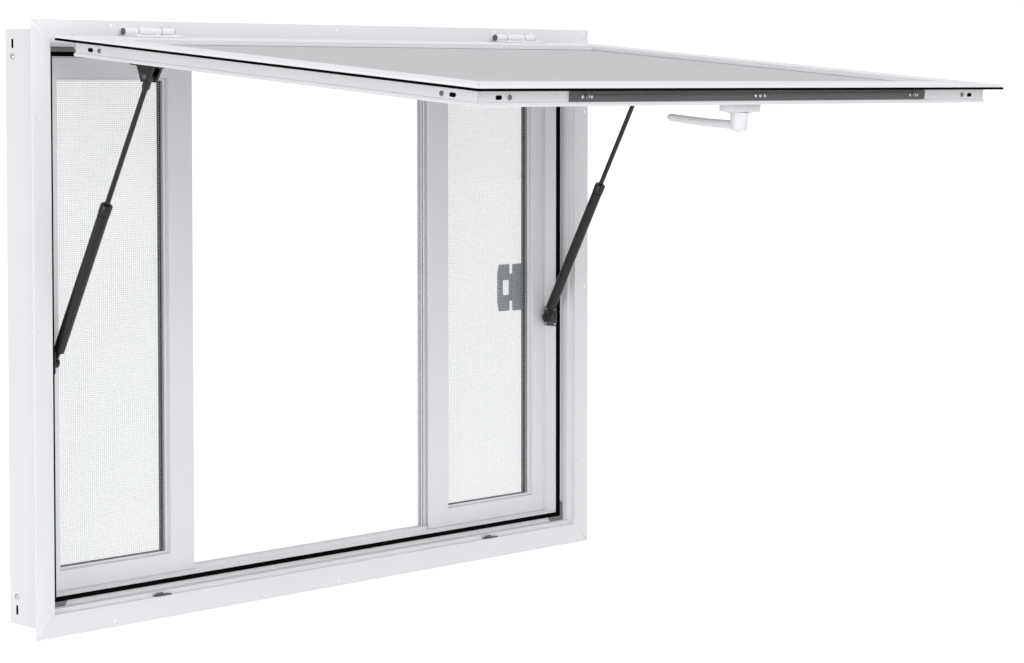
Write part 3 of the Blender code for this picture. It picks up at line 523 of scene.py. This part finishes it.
EDGE = 0.0004
HALF_WIDTH = 0.6085
HEIGHT = 0.913
STOP_Y = -0.016
FLANGE_Y = -0.044
SEAL_INSET = 0.0345
SEAL_WIDTH = 0.0068
SEAL_PROUD = 0.0058
CONTACT_GAP = 0.0003
GUSSET_EDGE = 0.0007
FITTING_EDGE = 0.0003
KEEPER_SCREW_RADIUS = 0.0032
KEEPER_SCREW_FROM_END = 0.006
KEEPER_SCREW_RISE = 0.0001


def bulb_section(base, inset, width, proud):
    """A soft rubber bead: a foot on the base and a round crown toward -Y."""
    section = [(base, inset)]
    for i in range(9):
        angle = math.pi * i / 8
        crown = 0.35 + 0.65 * math.sin(angle) ** 0.6
        section.append((base - proud * crown, inset + width * (1 - math.cos(angle)) / 2))
    section.append((base, inset + width))
    return section


def make_frame():
    """The wall frame's rails, its seal, the corner gussets and the lock's keepers."""
    for name, axis in (("head", 0), ("sill", 0), ("jamb_left", 2), ("jamb_right", 2)):
        refine(f"frame_{name}", EDGE, axis)
    base = STOP_Y - CONTACT_GAP
    section = bulb_section(base, SEAL_INSET, SEAL_WIDTH, SEAL_PROUD - CONTACT_GAP)
    seal = add_ring(
        "frame_seal_bead", section, (-HALF_WIDTH, 0.0), (HALF_WIDTH, HEIGHT),
        "black_rubber", "root",
    )
    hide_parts("frame_seal")
    for height_name in ("bottom", "top"):
        for side_name, _ in SIDES:
            refine(f"corner_gusset_{height_name}_{side_name}", GUSSET_EDGE)
    for side_name, _ in SIDES:
        keeper = f"lock_keeper_{side_name}"
        refine(keeper, FITTING_EDGE)
        low, high = (Vector(corner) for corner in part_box(keeper))
        # The head is sunk in the keeper's plate, because the bar's studs pass close above it.
        place = (high.x - KEEPER_SCREW_FROM_END, (low.y + high.y) / 2, low.z + KEEPER_SCREW_RISE)
        add_screws(
            f"{keeper}_screw", [facing(place, (0, 0, 1))], KEEPER_SCREW_RADIUS,
            "bright_steel", "root",
        )


SLEEVE_MARK_Y = 0.0240
SLEEVE_SLOTS = (0.8913, 0.0222)
SLEEVE_SCREWS = (0.8713, 0.0428)
SLEEVE_SLOT = (0.0150, 0.0050, 0.0002)
SLEEVE_SLOT_CORNER = 0.0024
SLEEVE_SCREW_RADIUS = 0.0046
MARK_EDGE = 0.0001


def make_sleeve_marks():
    """Corner screws on the sleeve's two sides, and thin black plates as painted shade where its
    joining slots open.
    """
    for side_name, side in SIDES:
        x = side * HALF_WIDTH
        slots = [facing((x, SLEEVE_MARK_Y, z), (side, 0, 0)) for z in SLEEVE_SLOTS]
        slots = [matrix @ Matrix.Rotation(math.radians(90), 4, "Z") for matrix in slots]
        # Painted shade: the slots are not cut; flat black plates on the sleeve's face stand in
        # for the dark inside of the openings.
        add_plates(
            f"sleeve_slots_{side_name}", slots, SLEEVE_SLOT, SLEEVE_SLOT_CORNER,
            "black_rubber", "root", MARK_EDGE,
        )
        screws = [facing((x, SLEEVE_MARK_Y, z), (side, 0, 0)) for z in SLEEVE_SCREWS]
        add_screws(
            f"sleeve_screws_{side_name}", screws, SLEEVE_SCREW_RADIUS, "bright_steel", "root",
        )


# --- screens and sashes -------------------------------------------------------------------

CLOTH_Y = 0.0232
CLOTH_TUCK = 0.003
WIRE_PITCH_X = 0.0040
WIRE_PITCH_Z = 0.0033
WIRE_RADIUS = 0.00023
OPENING_X = (0.316, 0.535)
OPENING_Z = (0.074, 0.839)
GLASS_Y = (0.034, 0.037)


def add_wires(edit, low, high, y, along_z):
    """Square wires across a rectangle, in one direction."""
    start, end = (low[0], high[0]) if along_z else (low[1], high[1])
    count = int((end - start) / (WIRE_PITCH_X if along_z else WIRE_PITCH_Z))
    r = WIRE_RADIUS
    for i in range(count):
        c = start + (i + 0.5) * (end - start) / count
        if along_z:
            ends = [
                [(c - r, y, z), (c, y - r, z), (c + r, y, z), (c, y + r, z)]
                for z in (low[1], high[1])
            ]
        else:
            ends = [
                [(x, y, c - r), (x, y - r, c), (x, y, c + r), (x, y + r, c)]
                for x in (low[0], high[0])
            ]
        join_loops(edit, [[edit.verts.new(point) for point in end] for end in ends], False)


def span(side, values):
    """The low and high x of a stretch on one side."""
    return sorted(side * value for value in values)


def make_screen(side_name, side):
    """A fixed screen: rails, woven wires and the ledge that holds the cloth."""
    for rail, axis in (
        ("foot_rail", 0), ("head_rail", 0), ("jamb_stile", 2), ("meeting_stile", 2),
    ):
        refine(f"screen_{side_name}_{rail}", EDGE, axis)
    x_low, x_high = span(side, OPENING_X)
    low = (x_low, OPENING_Z[0])
    high = (x_high, OPENING_Z[1])
    edit = bmesh.new()
    cloth_low = [value - CLOTH_TUCK for value in low]
    cloth_high = [value + CLOTH_TUCK for value in high]
    for along_z in (True, False):
        add_wires(edit, cloth_low, cloth_high, CLOTH_Y, along_z)
    name = f"screen_{side_name}_wires"
    wires = add_piece(name, to_mesh(edit, name), "screen_cloth", "root")
    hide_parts(f"screen_{side_name}_mesh")
    # The ledge stands in front of the cloth, as (y, inset) points.
    ledge = [
        (0.0226, -0.0002), (0.0195, -0.0002), (0.0189, 0.0004), (0.0189, 0.0034),
        (0.0194, 0.0040), (0.0226, 0.0040),
    ]
    add_ring(f"screen_{side_name}_spline", ledge, low, high, "white_powder_coat", "root")


def make_sash(side_name, side):
    """A sliding sash: rails and the gaskets on both faces of its glass."""
    body = f"sash_{side_name}"
    for rail, axis in (
        ("foot_rail", 0), ("head_rail", 0), ("jamb_stile", 2), ("meeting_stile", 2),
    ):
        refine(f"{body}_{rail}", EDGE, axis)
    x_low, x_high = span(side, OPENING_X)
    low = (x_low, OPENING_Z[0])
    high = (x_high, OPENING_Z[1])
    near, far = GLASS_Y
    gap = 0.0001
    for face, y, step in (("front", near - gap, -1), ("back", far + gap, 1)):
        gasket = [
            (y, -0.0005), (y + step * 0.0030, -0.0005), (y + step * 0.0030, 0.0010),
            (y + step * 0.0012, 0.0032), (y, 0.0036),
        ]
        add_ring(f"{body}_gasket_{face}", gasket, low, high, "black_rubber", body)


LATCH_EDGE = 0.0008
LATCH_SCREW_STEP = 0.034
LATCH_SCREW_FROM_END = 0.006
LATCH_SCREW_RADIUS = 0.003
LATCH_RIB = (0.0012, 0.006, 0.0010)
LATCH_RIB_CORNER = 0.0005
LATCH_RIB_PITCH = 0.004
LATCH_RIB_FROM_END = 0.0045


def make_latch():
    """The right sash's latch, with two screws in its case and ribs on its grip."""
    refine("sash_right_latch_case", LATCH_EDGE)
    refine("sash_right_latch_grip", LATCH_EDGE)
    low, high = (Vector(corner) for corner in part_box("sash_right_latch_case"))
    middle = (low + high) / 2
    x = high.x - LATCH_SCREW_FROM_END
    screws = [
        facing((x, high.y, middle.z + step), (0, 1, 0))
        for step in (-LATCH_SCREW_STEP, LATCH_SCREW_STEP)
    ]
    add_screws("latch_screws", screws, LATCH_SCREW_RADIUS, "bright_steel", "sash_right")
    low, high = (Vector(corner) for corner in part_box("sash_right_latch_grip"))
    x = low.x + LATCH_RIB_FROM_END
    ribs = [
        facing((x, high.y, middle.z + i * LATCH_RIB_PITCH), (0, 1, 0)) for i in range(-2, 3)
    ]
    add_plates("latch_ribs", ribs, LATCH_RIB, LATCH_RIB_CORNER, "grey_moulding", "latch_grip")


# --- awning sash --------------------------------------------------------------------------

AWNING_HALF = 0.5988
AWNING_HEAD = -0.0116
AWNING_FOOT = -0.9036
LIP_Y = 0.0107
SASH_BACK_Y = 0.0367
CHANNEL_INSET = 0.0225
CHANNEL_MARK_Y = 0.0245
LIP_INSET = 0.021
LIP_BEAD_Y = SASH_BACK_Y - 0.0031


def make_awning():
    """The awning's rails, its seal and a fine bead along the inner lip."""
    for rail, axis in (
        ("awning_front_rail", 0), ("awning_hinge_rail", 0),
        ("awning_stile_left", 2), ("awning_stile_right", 2),
    ):
        refine(rail, EDGE, axis, AWNING)
    seal = [
        (LIP_Y + 0.0003, 0.0004), (LIP_Y + 0.0008, 0.0), (LIP_Y + 0.0032, 0.0),
        (LIP_Y + 0.0037, 0.0006), (LIP_Y + 0.0037, 0.0088), (LIP_Y + 0.0003, 0.0090),
    ]
    seal_piece = add_ring(
        "awning_seal_bead", seal, (-AWNING_HALF, AWNING_FOOT), (AWNING_HALF, AWNING_HEAD),
        "black_rubber", "awning", AWNING,
    )
    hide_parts("awning_seal")
    bead = [
        (LIP_BEAD_Y - 0.0005, LIP_INSET + 0.0004), (LIP_BEAD_Y - 0.0005, LIP_INSET - 0.0004),
        (LIP_BEAD_Y, LIP_INSET - 0.0004), (LIP_BEAD_Y, LIP_INSET + 0.0004),
    ]
    add_ring(
        "awning_lip_bead", bead, (-AWNING_HALF, AWNING_FOOT), (AWNING_HALF, AWNING_HEAD),
        "white_powder_coat", "awning", AWNING,
    )


FRONT_SLOTS = (-0.537, 0.537)
FRONT_SCREWS = (-0.5165, 0.5165)
STILE_SLOTS = (-0.836, -0.0705)
STILE_SCREWS = (-0.8154, -0.0918)
SLOT_RIM = (0.0148, 0.0086, 0.0002)
SLOT_RIM_CORNER = 0.0042
SLOT = (0.0122, 0.0060, 0.0003)
SLOT_CORNER = 0.0029
CORNER_SCREW_RADIUS = 0.0036


def make_awning_marks():
    """Screws that hold the awning's corners together, and slot rims with black plates in them as
    painted shade for the slots' dark openings.
    """
    front = AWNING_FOOT + CHANNEL_INSET
    slots = [facing((x, CHANNEL_MARK_Y, front), (0, 0, -1), AWNING) for x in FRONT_SLOTS]
    screws = [facing((x, CHANNEL_MARK_Y, front), (0, 0, -1), AWNING) for x in FRONT_SCREWS]
    for side in (-1, 1):
        x = side * (AWNING_HALF - CHANNEL_INSET)
        turn = Matrix.Rotation(math.radians(90), 4, "Z")
        slots += [
            facing((x, CHANNEL_MARK_Y, z), (side, 0, 0), AWNING) @ turn for z in STILE_SLOTS
        ]
        screws += [facing((x, CHANNEL_MARK_Y, z), (side, 0, 0), AWNING) for z in STILE_SCREWS]
    add_plates("awning_slot_rims", slots, SLOT_RIM, SLOT_RIM_CORNER,
               "white_powder_coat", "awning", MARK_EDGE)
    # Painted shade: the slots are not cut; the black plates stand in for the dark inside of the
    # openings.
    add_plates("awning_slots", slots, SLOT, SLOT_CORNER, "black_rubber", "awning", MARK_EDGE)
    add_screws("awning_corner_screws", screws, CORNER_SCREW_RADIUS, "grey_moulding", "awning")


HINGE_X = 0.412
KNUCKLE_JOINTS = (-0.0225, 0.0225)
LEAF_SCREWS = (-0.036, 0.0, 0.036)
LEAF_SCREW_RADIUS = 0.0034
FRAME_LEAF_SCREW_Z = 0.9180
FRAME_LEAF_FACE_Y = FLANGE_Y - 0.0023
AWNING_LEAF_SCREW_Z = -0.022
AWNING_LEAF_FACE_Y = LIP_Y - 0.0063
PIN_HEAD_RADIUS = 0.0057


def make_hinge(side_name, side):
    """A butt hinge: two leaves, a pin with a domed head, washers and the leaves' screws."""
    refine(f"hinge_{side_name}_frame_leaf", FITTING_EDGE)
    refine(f"hinge_{side_name}_awning_leaf", FITTING_EDGE)
    pin = f"hinge_{side_name}_pin"
    low, high = (Vector(corner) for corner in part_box(pin))
    middle = (low + high) / 2
    radius = (high.z - low.z) / 2
    length = high.x - low.x
    shaft = [
        (-0.0009, 0.0012), (-0.0007, 0.0030), (0.0, 0.0052),
        (0.0008, PIN_HEAD_RADIUS), (0.0013, PIN_HEAD_RADIUS),
        (0.0014, radius), (length - 0.0005, radius), (length, radius - 0.0005),
    ]
    start = facing((low.x, middle.y, middle.z), (1, 0, 0))
    pin_piece = add_turned(f"{pin}_turned", [(shaft, start)], "dark_steel", "root")
    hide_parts(pin)

    x = side * HINGE_X
    washer = [(-0.0003, 0.0046), (-0.0003, 0.0062), (0.0003, 0.0062), (0.0003, 0.0046)]
    rounds = [
        (washer, facing((x + step, middle.y, middle.z), (1, 0, 0))) for step in KNUCKLE_JOINTS
    ]
    end_cap = [(-0.0004, 0.0020), (-0.0002, 0.0054), (0.0006, 0.0056), (0.0012, 0.0048)]
    cap_x = high.x - 0.0013
    rounds.append((end_cap, facing((cap_x, middle.y, middle.z), (1, 0, 0))))
    add_turned(f"hinge_{side_name}_washers", rounds, "dark_steel", "root")

    for leaf, y, z, body, turn in (
        ("frame", FRAME_LEAF_FACE_Y, FRAME_LEAF_SCREW_Z, "root", WORLD),
        ("awning", AWNING_LEAF_FACE_Y, AWNING_LEAF_SCREW_Z, "awning", AWNING),
    ):
        matrices = [facing((x + step, y, z), (0, -1, 0), turn) for step in LEAF_SCREWS]
        add_screws(
            f"hinge_{side_name}_{leaf}_screws", matrices, LEAF_SCREW_RADIUS,
            "white_powder_coat", body,
        )


# --- handle and lock ----------------------------------------------------------------------

HANDLE_Z = AWNING_FOOT + 0.053
HUB_START = SASH_BACK_Y + 0.0136
HUB_LENGTH = 0.027
HUB_SIDES = 40
LEVER_Y = HUB_START + 0.0195
LEVER_START = 0.003
LEVER_LENGTH = 0.137
LEVER_STEPS = 20
LEVER_SIDES = 20
LEVER_ROOT_X = 0.0068
LEVER_ROOT_Y = 0.0062
LEVER_TAPER = 0.0010
LEVER_RISE = 0.0012
LEVER_TIP_SHARE = 0.07
LEVER_SQUARENESS = 0.8
END_SCREW_RADIUS = 0.0042
BASE_FACE_Y = SASH_BACK_Y + 0.0133
BASE_SCREWS = (-0.023, 0.023)
BASE_SCREW_RADIUS = 0.0036


def lever_ring(t):
    """One ring of the lever at t from 0 at the hub to 1 at its rounded tip."""
    reach = LEVER_START + (LEVER_LENGTH - LEVER_START) * t
    into_tip = max(0.0, (t - 1 + LEVER_TIP_SHARE) / LEVER_TIP_SHARE)
    fall = math.sqrt(max(0.0, 1 - into_tip ** 2))
    half_x = (LEVER_ROOT_X - LEVER_TAPER * t) * fall + 0.0003
    half_y = (LEVER_ROOT_Y - LEVER_TAPER * t) * fall + 0.0003
    rise = LEVER_RISE * math.sin(math.pi * t)
    ring = []
    for i in range(LEVER_SIDES):
        angle = 2 * math.pi * i / LEVER_SIDES
        across, along = math.cos(angle), math.sin(angle)
        x = half_x * math.copysign(abs(across) ** LEVER_SQUARENESS, across)
        y = half_y * math.copysign(abs(along) ** LEVER_SQUARENESS, along)
        ring.append((x, LEVER_Y + rise + y, HANDLE_Z + reach))
    return ring


def make_handle():
    """The handle's base, its tapered hub and lever, and the screws."""
    refine("handle_base", FITTING_EDGE)
    refine("handle_spindle", FITTING_EDGE)
    hub = [
        (0.0, 0.0128), (0.0006, 0.0134), (0.008, 0.0131), (0.020, 0.0124), (0.0253, 0.0120),
        (0.0265, 0.0112), (0.0270, 0.0102), (0.0270, 0.0054), (0.0264, 0.0050), (0.0264, 0.002),
    ]
    matrix = facing((0.0, HUB_START, HANDLE_Z), (0, 1, 0), AWNING)
    hub_piece = add_turned(
        "handle_hub", [(hub, matrix)], "white_powder_coat", "handle", HUB_SIDES,
    )
    add_loft(
        "handle_arm", [lever_ring(i / LEVER_STEPS) for i in range(LEVER_STEPS + 1)],
        "white_powder_coat", "handle", AWNING,
    )
    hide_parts("handle_lever")
    screw = facing((0.0, HUB_START + HUB_LENGTH - 0.0006, HANDLE_Z), (0, 1, 0), AWNING)
    add_screws("handle_screw", [screw], END_SCREW_RADIUS, "bright_steel", "handle")
    matrices = [facing((x, BASE_FACE_Y, HANDLE_Z), (0, 1, 0), AWNING) for x in BASE_SCREWS]
    add_screws("handle_base_screws", matrices, BASE_SCREW_RADIUS, "bright_steel", "awning")


BAR_FACE_Z = AWNING_FOOT + 0.0203
BAR_MIDDLE_Y = LIP_Y + 0.01285
BAR_STUD_Y = LIP_Y + 0.0125
BAR_STUDS = (-0.3685, 0.3825)
BAR_SCREWS = (-0.3775, -0.3595, -0.007, 0.0035, 0.014, 0.3735, 0.3915)
BAR_SCREW_RADIUS = 0.0026


def make_lock_bar():
    """The lock bar, with a cap on each stud's root and its screws."""
    refine("lock_bar", FITTING_EDGE)
    cap = [
        (-0.001, 0.0030), (0.0002, 0.0036), (0.0030, 0.0036), (0.0040, 0.0030), (0.0043, 0.0018),
    ]
    caps = [(cap, facing((x, BAR_STUD_Y, BAR_FACE_Z), (0, 0, -1), AWNING)) for x in BAR_STUDS]
    add_turned("lock_bar_stud_caps", caps, "bright_steel", "lock_bar")
    matrices = [facing((x, BAR_MIDDLE_Y, BAR_FACE_Z), (0, 0, -1), AWNING) for x in BAR_SCREWS]
    add_screws("lock_bar_screws", matrices, BAR_SCREW_RADIUS, "bright_steel", "lock_bar")


# --- gas struts ---------------------------------------------------------------------------

STRUT_X = 0.555
FOOT = Vector((0.0, -0.0045, 0.4015))
PIN_LOCAL = Vector((0.0, 0.0544, -0.1853))
CLEVIS_EDGE = 0.0008
CLEVIS_HALF = 0.0088
CLEVIS_FACE_Y = SASH_BACK_Y + 0.0028
CLEVIS_SCREWS = (-0.0275, 0.0275)
CLEVIS_SCREW_RADIUS = 0.0036
ROD_RADIUS = 0.0040
PISTON_RADIUS = 0.0068
PISTON_START = 0.290
ROD_LENGTH = 0.297
EYE_HALF = 0.0056
EYE_RADIUS = 0.0074
TUBE_RADIUS = 0.009
TUBE_LENGTH = 0.281
TUBE_SIDES = 36
NECK_RADIUS = 0.0039
CAP_START = 0.264
CAP_RADIUS = 0.0095
WALL_X = 0.5645
PLATE_SIZE = (0.0310, 0.0355, 0.0012)
PLATE_CORNER = 0.004
PLATE_EDGE = 0.0004
PLATE_SCREW_Y = 0.0115
PLATE_SCREW_Z = 0.0135
PLATE_SCREW_RADIUS = 0.0024


def make_clevis(side_name, side):
    """The bracket on the awning's stile that holds the rod's eye."""
    clevis = f"strut_{side_name}_clevis"
    refine(clevis, CLEVIS_EDGE)
    x = side * STRUT_X
    rivet = [(0.0, 0.0042), (0.0006, 0.0042), (0.0011, 0.0034), (0.0013, 0.0012)]
    rivets = []
    for step in (-1, 1):
        place = (x + step * CLEVIS_HALF, PIN_LOCAL.y, PIN_LOCAL.z)
        rivets.append((rivet, facing(place, (step, 0, 0), AWNING)))
    add_turned(f"{clevis}_rivets", rivets, "dark_steel", "awning")
    matrices = [
        facing((x, CLEVIS_FACE_Y, PIN_LOCAL.z + step), (0, 1, 0), AWNING)
        for step in CLEVIS_SCREWS
    ]
    add_screws(f"{clevis}_screws", matrices, CLEVIS_SCREW_RADIUS, "dark_steel", "awning")


def make_rod_and_tube(side_name, side):
    """The rod with its eye and piston, and the tube with its cap and socket."""
    pin = AWNING @ PIN_LOCAL
    along = (pin - FOOT).normalized()
    foot = Vector((side * STRUT_X, FOOT.y, FOOT.z))
    top = Vector((side * STRUT_X, pin.y, pin.z))

    # Heights are measured down from the pin.
    rod = [
        (0.004, 0.0062), (0.018, 0.0062), (0.0205, 0.0052), (0.024, ROD_RADIUS + 0.0001),
        (PISTON_START - 0.001, ROD_RADIUS), (PISTON_START, PISTON_RADIUS),
        (ROD_LENGTH, PISTON_RADIUS),
    ]
    eye = [
        (-EYE_HALF, EYE_RADIUS - 0.0008), (-EYE_HALF + 0.0004, EYE_RADIUS),
        (EYE_HALF - 0.0004, EYE_RADIUS), (EYE_HALF, EYE_RADIUS - 0.0008),
    ]
    rounds = [(rod, facing(top, -along)), (eye, facing(top, (1, 0, 0)))]
    rod_body = f"strut_{side_name}_rod"
    rod_piece = add_turned(f"{rod_body}_turned", rounds, "black_paint", rod_body)
    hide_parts(rod_body)

    # Heights are measured up from the foot.
    tube = [
        (0.004, NECK_RADIUS), (0.0165, NECK_RADIUS), (0.0185, 0.0052), (0.0200, 0.0078),
        (0.0215, TUBE_RADIUS), (CAP_START - 0.0020, TUBE_RADIUS),
        (CAP_START - 0.0014, TUBE_RADIUS - 0.0010), (CAP_START - 0.0004, TUBE_RADIUS - 0.0010),
        (CAP_START, CAP_RADIUS), (TUBE_LENGTH - 0.0025, CAP_RADIUS),
        (TUBE_LENGTH - 0.0008, CAP_RADIUS - 0.0009), (TUBE_LENGTH, CAP_RADIUS - 0.0031),
        (TUBE_LENGTH, 0.0045), (TUBE_LENGTH - 0.003, 0.0043),
    ]
    socket = [(-0.0038, 0.0076), (-0.0033, 0.0084), (0.0033, 0.0084), (0.0038, 0.0076)]
    clip = [(-0.0048, 0.0030), (-0.0046, 0.0048), (-0.0030, 0.0050)]
    inward = facing(foot, (side, 0, 0))
    rounds = [(tube, facing(foot, along)), (socket, inward), (clip, inward)]
    tube_body = f"strut_{side_name}_tube"
    tube_piece = add_turned(
        f"{tube_body}_turned", rounds, "black_paint", tube_body, TUBE_SIDES,
    )
    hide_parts(tube_body)


def make_foot_bracket(side_name, side):
    """The plate on the jamb that the tube's socket turns beside."""
    bracket = f"strut_{side_name}_foot_bracket"
    low, high = (Vector(corner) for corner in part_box(bracket))
    plate_x = side * (WALL_X + PLATE_SIZE[2])
    middle = Vector((plate_x, (low.y + high.y) / 2, (low.z + high.z) / 2))
    plate = add_plates(
        f"{bracket}_plate", [facing(middle, (-side, 0, 0))], PLATE_SIZE, PLATE_CORNER,
        "dark_steel", "root", PLATE_EDGE,
    )
    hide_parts(bracket)
    boss = [
        (0.0, 0.0085), (0.0010, 0.0085), (0.0018, 0.0062), (0.0030, 0.0050), (0.0049, 0.0047),
    ]
    face = Vector((side * WALL_X, FOOT.y, FOOT.z))
    add_turned(f"{bracket}_boss", [(boss, facing(face, (-side, 0, 0)))], "dark_steel", "root")
    screws = [
        facing((side * WALL_X, middle.y + dy, middle.z + dz), (-side, 0, 0))
        for dy in (-PLATE_SCREW_Y, PLATE_SCREW_Y) for dz in (-PLATE_SCREW_Z, PLATE_SCREW_Z)
    ]
    add_screws(f"{bracket}_screws", screws, PLATE_SCREW_RADIUS, "bright_steel", "root")


def paint_nodes():
    """Give every CAD node the material of its slot."""
    for name, node in NODES.items():
        node.data.materials.clear()
        node.data.materials.append(MATERIALS[SLOT_OF[name]])


paint_nodes()
make_frame()
make_sleeve_marks()
make_awning()
make_awning_marks()
for half_name, half_side in SIDES:
    make_screen(half_name, half_side)
    make_sash(half_name, half_side)
    make_hinge(half_name, half_side)
    make_clevis(half_name, half_side)
    make_rod_and_tube(half_name, half_side)
    make_foot_bracket(half_name, half_side)
make_latch()
make_handle()
make_lock_bar()

add_camera()
add_world()
add_floor()
for light_name, light_place, light_target, light_size, light_power in AREA_LIGHTS:
    add_area_light(light_name, light_place, light_target, light_size, light_power)
